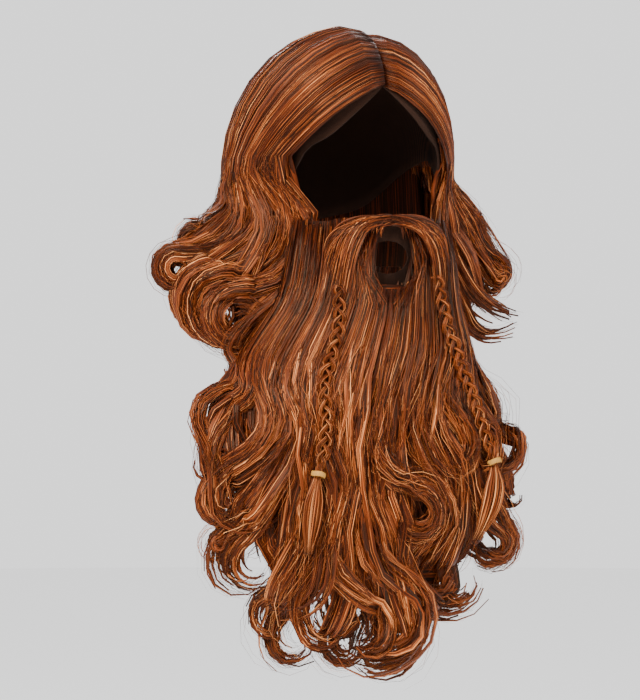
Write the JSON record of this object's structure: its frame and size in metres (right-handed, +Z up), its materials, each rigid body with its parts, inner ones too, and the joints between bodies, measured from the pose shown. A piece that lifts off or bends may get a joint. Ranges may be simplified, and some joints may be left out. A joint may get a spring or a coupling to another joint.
{
  "type": "viking wig with plaited beard",
  "caption": "Long wavy wig with a centre parting on an open cap, with a full curled beard, moustache and thin plaits hung from it by straps round a mouth opening.",
  "frame": {"origin": "the crown of the head, where it meets the inside of the cap", "axes": "+Z up, -Y the way the wearer faces, +X towards the wearer's left"},
  "size_m": [0.3668, 0.2716, 0.6029],
  "materials": {
    "hair": "auburn synthetic hair, fine strands with a soft sheen",
    "net": "dark brown stretch net",
    "elastic_tie": "small clear amber elastic",
    "strap": "dark woven elastic"
  },
  "bodies": {
    "root": {"cap": "net", "hair_right": "hair", "hair_left": "hair", "hair_back": "hair", "beard_base": "net", "beard_hair": "hair", "moustache": "hair", "plait_right": "hair", "plait_left": "hair", "tie_right": "elastic_tie", "tie_left": "elastic_tie", "strap_right": "strap", "strap_left": "strap"}
  },
  "joints": []
}
